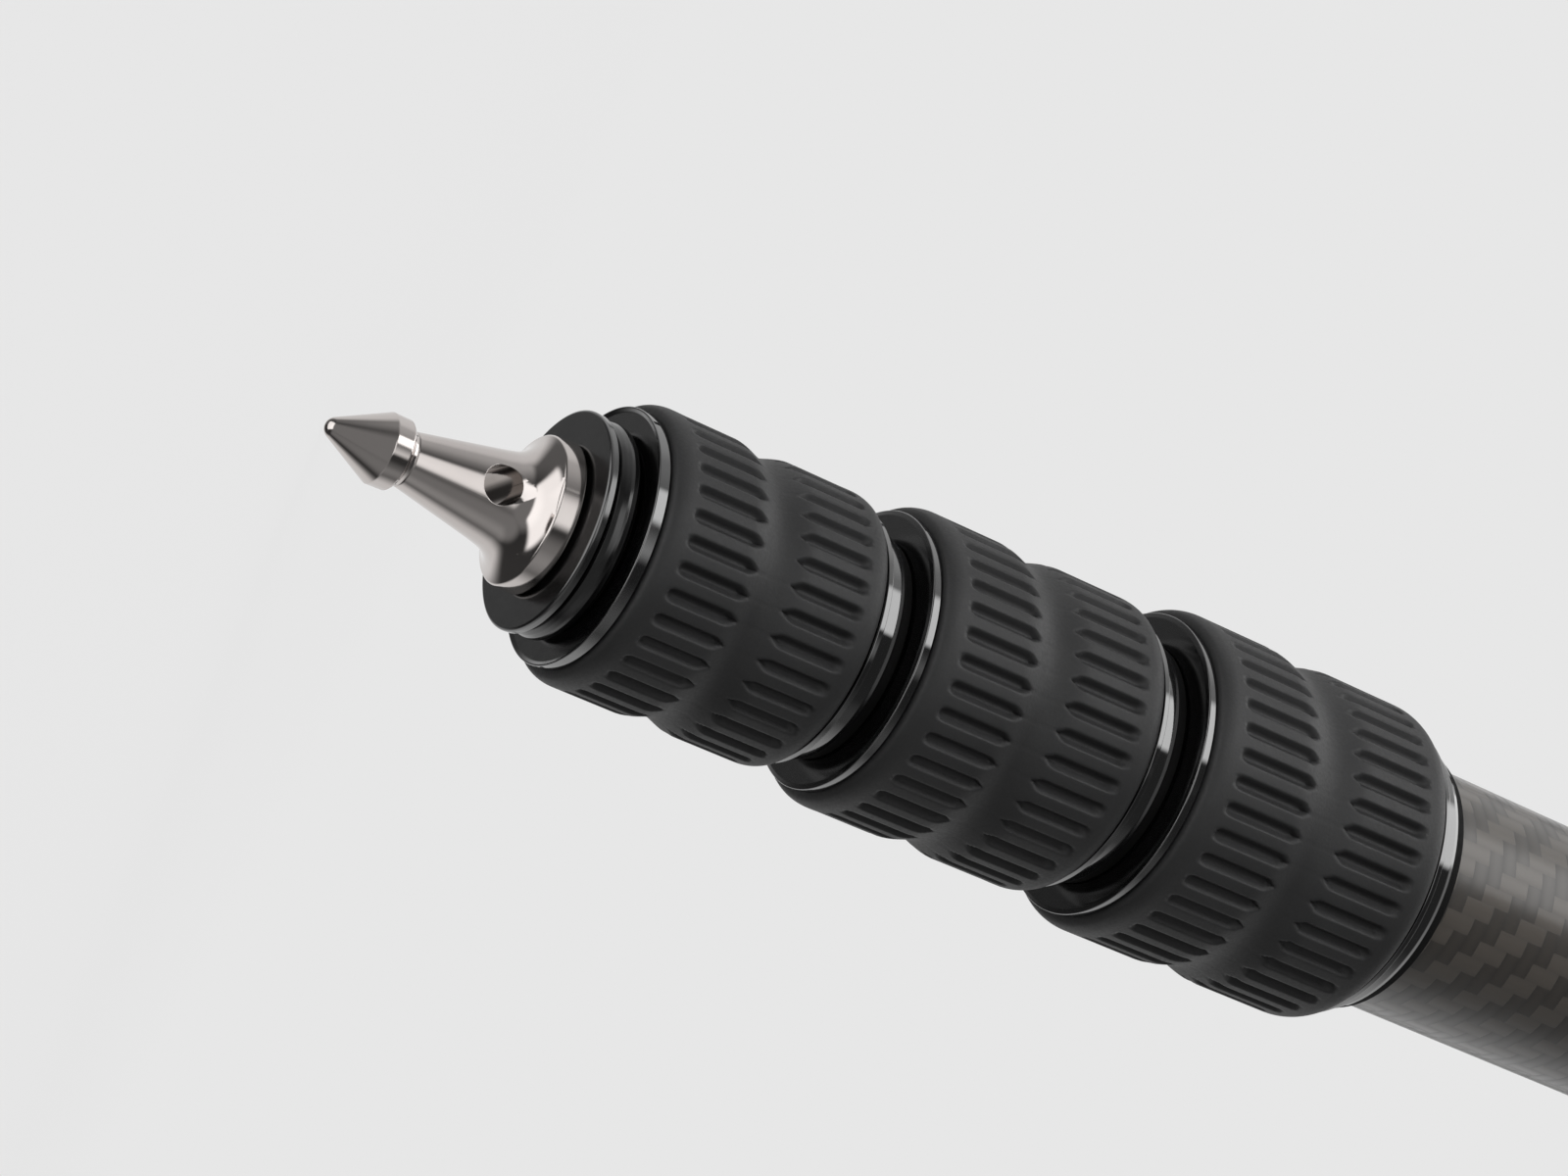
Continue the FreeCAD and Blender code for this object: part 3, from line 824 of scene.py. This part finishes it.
def add_ferrule(lock):
    """A lock's ferrule on every leg, with painted shade, a matt black, where it looks into the gap."""
    inside = GRIP_RADII[lock] - LIP_INSET - 1.6
    # Painted shade: the ferrule's faces inside its lip take the matt black.
    mesh = refinished(
        turned_mesh("ferrule", ferrule_outline(lock), 0.1),
        lambda radius, height, away: radius < inside,
    )
    on_every_leg(
        "turned_ferrule_%d_leg_%%d" % lock, mesh, section_body(lock),
        [ANODISED, PAINTED_GAP_SHADE], "leg_%%d_ferrule_%d" % lock,
    )


def add_tube(section):
    """A carbon tube on every leg."""
    mesh = turned_mesh("tube", tube_outline(section), 0.1, 160)
    on_every_leg(
        "turned_tube_%d_leg_%%d" % section, mesh, section_body(section),
        [CARBON], "leg_%%d_tube_%d" % section,
    )


def add_foot_collars():
    """Foot collars with two discs and a sleeve, with painted shade, a matt black, on the sleeve and between
    the discs.
    """
    mesh = turned_mesh("collar", COLLAR_OUTLINE, 0.08)
    # Painted shade on the sleeve and in the recess between the discs.
    mesh = refinished(mesh, lambda radius, height, away: height > 32.9 and radius < 14.0)
    mesh = refinished(mesh, lambda radius, height, away: height > 33.6 and radius >= 14.0, 2)
    finishes = [SATIN_BLACK, PAINTED_GAP_SHADE, SOFT_BLACK]
    on_every_leg(
        "turned_foot_collar_leg_%d", mesh, section_body(4), finishes, "leg_%d_foot_collar",
    )


def add_spikes():
    """Spikes with a hole across the neck for a bar, sunk at both ends, with painted shade, a darker steel, on
    the hole's wall.
    """
    across = moved(0, 0, 23.0 - SPIKE_REACH, -27) @ Matrix.Rotation(math.pi / 2, 4, "Y")
    mesh = drilled(turned_mesh("spike", spike_outline(), 0.07), across, 2.65, 24)
    for end in (0, math.pi):
        sunk = across @ Matrix.Rotation(end, 4, "X") @ moved(0, 0, 7.85)
        mesh = drilled(mesh, sunk, 2.5, 4, 96, 6.5)
    on_every_leg(
        "turned_spike_leg_%d", mesh, section_body(4), [STEEL, HOLE_SHADE_STEEL], "leg_%d_spike",
    )


def carbon():
    """Woven carbon fibre under a satin coat, mapped round the tube, with a painted sheen along the crown of
    each tow.
    """
    made, tree, shader = material("carbon_tube")
    place = node(tree, "ShaderNodeUVMap", uv_map="turned")
    split = node(tree, "ShaderNodeSeparateXYZ", {"Vector": place.outputs["UV"]})
    tows = Field(tree, split.outputs["X"]) * 44
    picks = Field(tree, split.outputs["Y"]) * 400
    twill = (tows.apply("FLOOR") + picks.apply("FLOOR")).apply("FLOORED_MODULO", 4.0).apply("LESS_THAN", 1.5)
    ridge = ((tows - tows.apply("FLOOR")) * math.pi).apply("SINE")
    weft = ((picks - picks.apply("FLOOR")) * math.pi).apply("SINE")
    height = ridge * twill + weft * (1 - twill)
    # Tone by weave direction, plus a painted sheen that lightens the crown of each tow.
    shade = twill * 0.3 + height * 0.12 + 0.3
    tinted(tree, shader, shade.socket, (0.023, 0.021, 0.019), (0.054, 0.048, 0.042))
    rough = height * -0.1 + 0.38
    tree.links.new(rough.socket, shader.inputs["Roughness"])
    shader.inputs["Coat Weight"].default_value = 0.35
    shader.inputs["Coat Roughness"].default_value = 0.22
    bump(tree, shader, height.socket, 0.04 * MM, 0.4)
    return made


CARBON = carbon()


# The stud, the screws and the hinge pins

def thread_tree():
    """Screw thread on a sheet of vertices wrapped round Z, closed at both ends."""
    kinds = dict.fromkeys(("Radius", "Depth", "Pitch", "Length", "Chamfer"), "Float")
    kinds.update({"Steps": "Int", "Rows": "Int", "Finish": "Material"})
    tree, sockets, given = growing_tree("screw_thread", kinds)
    sheet, column, row = sheet_of_vertices(tree, given["Steps"], given["Rows"])
    turn = column / given["Steps"]
    height = held((row - 1) / (given["Rows"] - 3)) * given["Length"]
    phase = (height / given["Pitch"] - turn).apply("FRACT")
    flank = held((phase - 0.5).apply("ABSOLUTE") * 2.6 - 0.15)
    tip = (height - given["Length"] + given["Chamfer"]).apply("MAXIMUM", 0.0)
    ring = (given["Radius"] - flank * given["Depth"]).apply("MINIMUM", given["Radius"] - tip)
    inside = row.apply("GREATER_THAN", 0.5) * row.apply("LESS_THAN", given["Rows"] - 1.5)
    wrap(tree, sheet, ring * inside, turn * (2 * math.pi), height, given["Finish"])
    return tree, sockets


def joined_mesh(name, parts):
    """One mesh from (mesh, matrix) pairs, with outward faces. The meshes are used up."""
    build = bmesh.new()
    for mesh, matrix in parts:
        mesh.transform(matrix)
        build.from_mesh(mesh)
    for mesh in {mesh for mesh, _ in parts}:
        bpy.data.meshes.remove(mesh)
    bmesh.ops.recalc_face_normals(build, faces=build.faces)
    made = bpy.data.meshes.new(name)
    build.to_mesh(made)
    build.free()
    made.set_sharp_from_angle(angle=math.radians(35))
    return made


def add_camera_stud():
    """Stud with its 3/8 inch thread above the plate."""
    tree, sockets = thread_tree()
    values = {
        "Radius": 4.76 * MM, "Depth": 0.86 * MM, "Pitch": 1.5875 * MM, "Length": 12.5 * MM,
        "Chamfer": 1.0 * MM, "Steps": 72, "Rows": 130, "Finish": STEEL,
    }
    thread = grown_mesh("thread", tree, sockets, values)
    outline = [(0, -22), (9, -22), (9, -16), (5.5, -16), (5.5, -0.02), (0, -0.02)]
    shank = turned_mesh("shank", outline, 0.3, 96)
    mesh = joined_mesh("camera_stud", [(thread, moved(0, 0, -0.5)), (shank, Matrix())])
    placed("threaded_stud", mesh, "apex", [STEEL], "camera_stud")


def add_plate_screws():
    """Three countersunk screws with hexagon sockets."""
    outline = [(0, -21), (2, -21), (2, -2.2), (3.8, -0.02), (0, -0.02)]
    parts = []
    for turn in (-90, 30, 150):
        head = turned_mesh("screw", outline, 0.15, 64)
        cut = drilled(head, moved(0, 0, 0), 1.45, 3.4, 6)
        parts.append((cut, moved(0, 0, 0, turn) @ moved(25, 0, 0)))
    mesh = joined_mesh("plate_screws", parts)
    placed("socket_screws", mesh, "apex", [DARK_STEEL], "plate_screws")


def add_hinge_pins():
    """A pin through each fork, with a round head and a hexagon socket at both ends."""
    outline = [
        (0, -19), (7.0, -19), (7.5, -18.5), (7.5, -16.8), (5, -16.8),
        (5, 16.8), (7.5, 16.8), (7.5, 18.5), (7.0, 19), (0, 19),
    ]
    parts = []
    for leg in LEGS:
        pin = turned_mesh("pin", outline, 0.2, 96)
        for end in (-19, 19):
            pin = drilled(pin, moved(0, 0, end), 3.2, 4.4, 6)
        spread_joint = joints["leg_%d_spread" % leg]
        turn = Vector(spread_joint["axis"]).to_track_quat("Z", "Y").to_matrix().to_4x4()
        parts.append((pin, Matrix.Translation(Vector(spread_joint["pos_m"])) @ turn))
    mesh = joined_mesh("hinge_pins", parts)
    placed("socket_pins", mesh, "apex", [DARK_STEEL], "hinge_pins")


# Castings and fittings drawn by the CAD, with their looks

def level_lens():
    """Bull's-eye level: black rim, green liquid, a fine ring and a bubble inside it, drawn as a paler disc
    that is partly a painted highlight.
    """
    made, tree, shader = material("level_lens")
    grain = place_group(tree, GRAIN, {"Scale": 400.0, "Coarse": 0.6})
    place = node(tree, "ShaderNodeTexCoord")
    centre = Matrix.Rotation(math.radians(30), 3, "Z") @ Vector((46 * MM, 0, 0))
    bubble_centre = centre + Vector((0.5, 0.3, 0)) * MM
    flat = node(
        tree, "ShaderNodeVectorMath", {0: place.outputs["Object"], 1: (1, 1, 0)}, operation="MULTIPLY",
    ).outputs["Vector"]
    far = Field(tree, distance(tree, flat, centre))
    rim = far.apply("GREATER_THAN", 4.95 * MM)
    ring = far.apply("GREATER_THAN", 2.5 * MM) * far.apply("LESS_THAN", 2.75 * MM)
    bubble = fade(tree, distance(tree, flat, bubble_centre), 1.5 * MM, 1.9 * MM, 1.0, 0.0)
    liquid = blended(tree, grain.outputs["Patches"], (0.36, 0.58, 0.06, 1), (0.46, 0.7, 0.1, 1))
    # The bubble is a paler disc, partly its own look and partly a painted highlight.
    pale = blended(tree, bubble.socket, liquid, (0.75, 0.9, 0.45, 1))
    colour = blended(tree, rim.apply("MAXIMUM", ring).socket, pale, (0.01, 0.01, 0.011, 1))
    tree.links.new(colour, shader.inputs["Base Color"])
    rough = spread(tree, grain.outputs["Height"], 0.05, 0.1)
    tree.links.new(rough, shader.inputs["Roughness"])
    return made


LENS_FINISH = level_lens()


def finish_node(name, finish):
    """A material for a node that is shown as the CAD drew it."""
    nodes[name].data.materials.clear()
    nodes[name].data.materials.append(finish)


def finish_castings():
    """Looks for the parts that the CAD drew in full."""
    for name in ("apex_crown", "apex_hub"):
        finish_node(name, CASTING)
    for name in ("top_plate", "hub_cap"):
        finish_node(name, SATIN_BLACK)
    finish_node("weight_hook", STEEL)
    finish_node("level_vial", LENS_FINISH)
    for leg in LEGS:
        finish_node("leg_%d_shoulder" % leg, CASTING)
        finish_node("leg_%d_stop_tab" % leg, DARK_STEEL)


add_grips()
for part_lock in LOCKS:
    add_nut(part_lock)
    add_ferrule(part_lock)
for part_section in TUBE_RADII:
    add_tube(part_section)
add_foot_collars()
add_spikes()
add_camera_stud()
add_plate_screws()
add_hinge_pins()
finish_castings()


# Camera, from the way that leg 1 lies in the picture

def camera_basis():
    """Rotation from camera axes to the frame's, and the spike's tip in both."""
    up_seen = Vector((
        math.sin(LEG_LEAN) * math.cos(LEG_FALL),
        -math.sin(LEG_LEAN) * math.sin(LEG_FALL),
        -math.cos(LEG_LEAN),
    ))
    focal = FRAME_WIDTH * LENS / SENSOR
    tip_seen = Vector((
        (TIP_PIXEL[0] - FRAME_WIDTH / 2) / focal,
        (FRAME_HEIGHT / 2 - TIP_PIXEL[1]) / focal,
        -1.0,
    )) * TIP_DISTANCE
    towards = -tip_seen.normalized()
    facing_seen = (towards - up_seen * towards.dot(up_seen)).normalized()
    leg = LEG_FRAMES[1].to_3x3()
    up = leg.col[2].copy()
    facing = math.cos(VIEW_SPIN) * leg.col[0] + math.sin(VIEW_SPIN) * leg.col[1]
    seen = Matrix((up_seen, facing_seen, up_seen.cross(facing_seen))).transposed()
    real = Matrix((up, facing, up.cross(facing))).transposed()
    return real @ seen.transposed(), tip_seen, LEG_FRAMES[1].translation.copy()


TURN, TIP_SEEN, TIP = camera_basis()
EYE = TIP - TURN @ TIP_SEEN


def add_camera():
    """The camera that sees leg 1 as the photograph does."""
    lens = bpy.data.cameras.new("camera")
    lens.lens = LENS
    lens.sensor_width = SENSOR
    lens.clip_start = 0.01
    lens.clip_end = 20
    camera = bpy.data.objects.new("camera", lens)
    camera.matrix_world = Matrix.Translation(EYE) @ TURN.to_4x4()
    bpy.context.scene.collection.objects.link(camera)
    bpy.context.scene.camera = camera


def seen_point(right, up, near):
    """Point of the frame from millimetres right of, above and nearer than the grips."""
    middle = LEG_FRAMES[1] @ Vector((0, 0, 0.08))
    return middle + TURN @ (Vector((right, up, near)) * MM)


def add_lamp(name, place, size, power):
    """A softbox in the frame, turned to the grips, that mirrors don't show."""
    lamp = bpy.data.lights.new(name, "AREA")
    lamp.shape = "RECTANGLE"
    lamp.size, lamp.size_y = size[0] * MM, size[1] * MM
    lamp.energy = power
    lamp.spread = math.radians(160)
    made = bpy.data.objects.new(name, lamp)
    away = place - seen_point(0, 0, 0)
    made.matrix_world = Matrix.Translation(place) @ away.to_track_quat("Z", "Y").to_matrix().to_4x4()
    made.visible_glossy = False
    bpy.context.scene.collection.objects.link(made)


# Levels of the backdrop, of the dark studio in mirrors, and of the light from all round
BACKGROUND = 0.799
DIM = 0.04
AMBIENT = 0.3


def ray_kinds(tree):
    """Whether a ray comes from the camera, from a mirror, or through something clear."""
    path = node(tree, "ShaderNodeLightPath")
    kinds = ("Is Camera Ray", "Is Glossy Ray", "Is Transmission Ray")
    return [Field(tree, path.outputs[kind]) for kind in kinds]


def seen_direction(right, up, near):
    """Direction of the frame from one in camera axes."""
    return TURN @ Vector((right, up, near)).normalized()


def softbox(tree, direction, centre, across, half_width, half_height, level, soft=0.05):
    """The level inside a rectangle about a direction, and nothing round it."""
    ahead = seen_direction(*centre)
    level_axis = seen_direction(*across)
    upright = ahead.cross(level_axis).normalized()
    depth = Field(tree, along(tree, direction, ahead)).apply("MAXIMUM", 0.01)
    inside = level
    for axis, half in ((upright.cross(ahead), half_width), (upright, half_height)):
        away = Field(tree, along(tree, direction, axis)).apply("ABSOLUTE") / depth
        inside = fade(tree, away.socket, half - soft, half + soft, 1.0, 0.0) * inside
    return inside


def reflected_level(tree, direction):
    """What polished pieces mirror from a direction: the pale backdrop behind the leg, a long
    softbox on the right, one in front and one on the left beyond the spike, and a dim studio."""
    away = along(tree, direction, seen_direction(0, 0, -1))
    height = along(tree, direction, seen_direction(0, 1, 0))
    sideways = fade(tree, along(tree, direction, LEG_FRAMES[1].to_3x3().col[2]), -0.5, -0.1, 0.0, 1.0)
    rightward = fade(tree, along(tree, direction, seen_direction(1, 0, 0)), 0.0, 0.25, 0.2, 1.0)
    lower = fade(tree, away, -0.2, 0.5, 0.0, BACKGROUND) * sideways
    upper = fade(tree, away, -0.8, 0.2, 0.0, BACKGROUND) * rightward
    upper = upper * fade(tree, height, 0.3, 0.5, 0.05, 0.65)
    under = fade(tree, height, -0.75, -0.95, 0.0, 0.12)
    ahead = fade(tree, along(tree, direction, seen_direction(-0.05, 0.15, 0.98)), 0.6, 0.9, 0.0, 0.2)
    low = fade(tree, along(tree, direction, seen_direction(-0.1, -0.75, 0.65)), 0.72, 0.95, 0.0, 0.2)
    right = softbox(tree, direction, (0.963, 0.214, -0.16), (0.116, 0.2, 0.973), 0.74, 0.3, 2.3)
    front = softbox(tree, direction, (0.62, 0.12, 0.775), (0.775, 0, -0.62), 0.3, 0.42, 1.12, 0.14)
    left = softbox(tree, direction, (-0.663, 0.5, 0.557), (0.557, 0, 0.663), 0.6, 0.65, 1.5, 0.12)
    behind = softbox(tree, direction, (-0.62, 0.5, -0.6), (0.6, 0, -0.62), 0.2, 0.2, 0.2, 0.16)
    level = lower.apply("MAXIMUM", upper).apply("MAXIMUM", under)
    for box in (right, front, left, behind):
        level = level.apply("MAXIMUM", box)
    return level + ahead.apply("MAXIMUM", low) + DIM


def add_world():
    """Pale all round for the camera, the studio for reflections, and a plain grey to
    light the rest."""
    world = bpy.data.worlds.new("studio")
    bpy.context.scene.world = world
    world.use_nodes = True
    tree = world.node_tree
    tree.nodes.clear()
    output = node(tree, "ShaderNodeOutputWorld")
    seen, glossy, _ = ray_kinds(tree)
    coords = node(tree, "ShaderNodeTexCoord")
    reflected = reflected_level(tree, coords.outputs["Generated"])
    level = seen * BACKGROUND + (1 - seen) * (glossy * reflected + (1 - glossy) * AMBIENT)
    emit = node(tree, "ShaderNodeBackground", {"Color": (1, 1, 1, 1), "Strength": level.socket})
    tree.links.new(emit.outputs[0], output.inputs["Surface"])


def add_floor():
    """Pale floor under the spikes that takes the tripod's shadow. The camera looks through the
    rest of it, so that a leg drawn out further than the floor is seen whole."""
    mesh = bpy.data.meshes.new("floor")
    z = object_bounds()[0][2] - 0.05 * MM
    half = 9.0
    corners = [(-half, -half, z), (half, -half, z), (half, half, z), (-half, half, z)]
    mesh.from_pydata(corners, [], [(0, 1, 2, 3)])
    made, tree, shader = material("studio_floor")
    output = [found for found in tree.nodes if found.type == "OUTPUT_MATERIAL"][0]
    grain = place_group(tree, GRAIN, {"Scale": 300.0, "Coarse": 0.5})
    tinted(tree, shader, grain.outputs["Patches"], (0.78, 0.78, 0.78), (0.8, 0.8, 0.8))
    shader.inputs["Roughness"].default_value = 0.9
    seen, glossy, through = ray_kinds(tree)
    place = node(tree, "ShaderNodeNewGeometry")
    ray = node(tree, "ShaderNodeVectorMath", {0: place.outputs["Incoming"], "Scale": -1.0}, operation="SCALE")
    level = reflected_level(tree, ray.outputs["Vector"])
    glow = node(tree, "ShaderNodeEmission", {"Color": (1, 1, 1, 1), "Strength": level.socket})
    clear = node(tree, "ShaderNodeBsdfTransparent")
    beyond = node(tree, "ShaderNodeMixShader", {0: seen.socket, 1: glow.outputs[0], 2: clear.outputs[0]})
    away = distance(tree, place.outputs["Position"], TIP)
    share = (seen + through).apply("MINIMUM", 1.0) * fade(tree, away, 0.1, 0.4, 0.97, 1.0)
    share = share.apply("MAXIMUM", glossy)
    mixed = node(tree, "ShaderNodeMixShader", {0: share.socket, 1: shader.outputs[0], 2: beyond.outputs[0]})
    tree.links.new(mixed.outputs[0], output.inputs["Surface"])
    mesh.materials.append(made)
    piece = bpy.data.objects.new("floor", mesh)
    bpy.context.scene.collection.objects.link(piece)


add_camera()
add_world()
add_floor()
add_lamp("key_softbox", seen_point(430, 330, 330), (260, 420), 3.4)
add_lamp("high_softbox", seen_point(700, -60, -250), (400, 400), 1.2)
add_lamp("front_fill", seen_point(120, 160, 900), (420, 420), 1.0)

view = bpy.context.scene.view_settings
view.view_transform = "Standard"
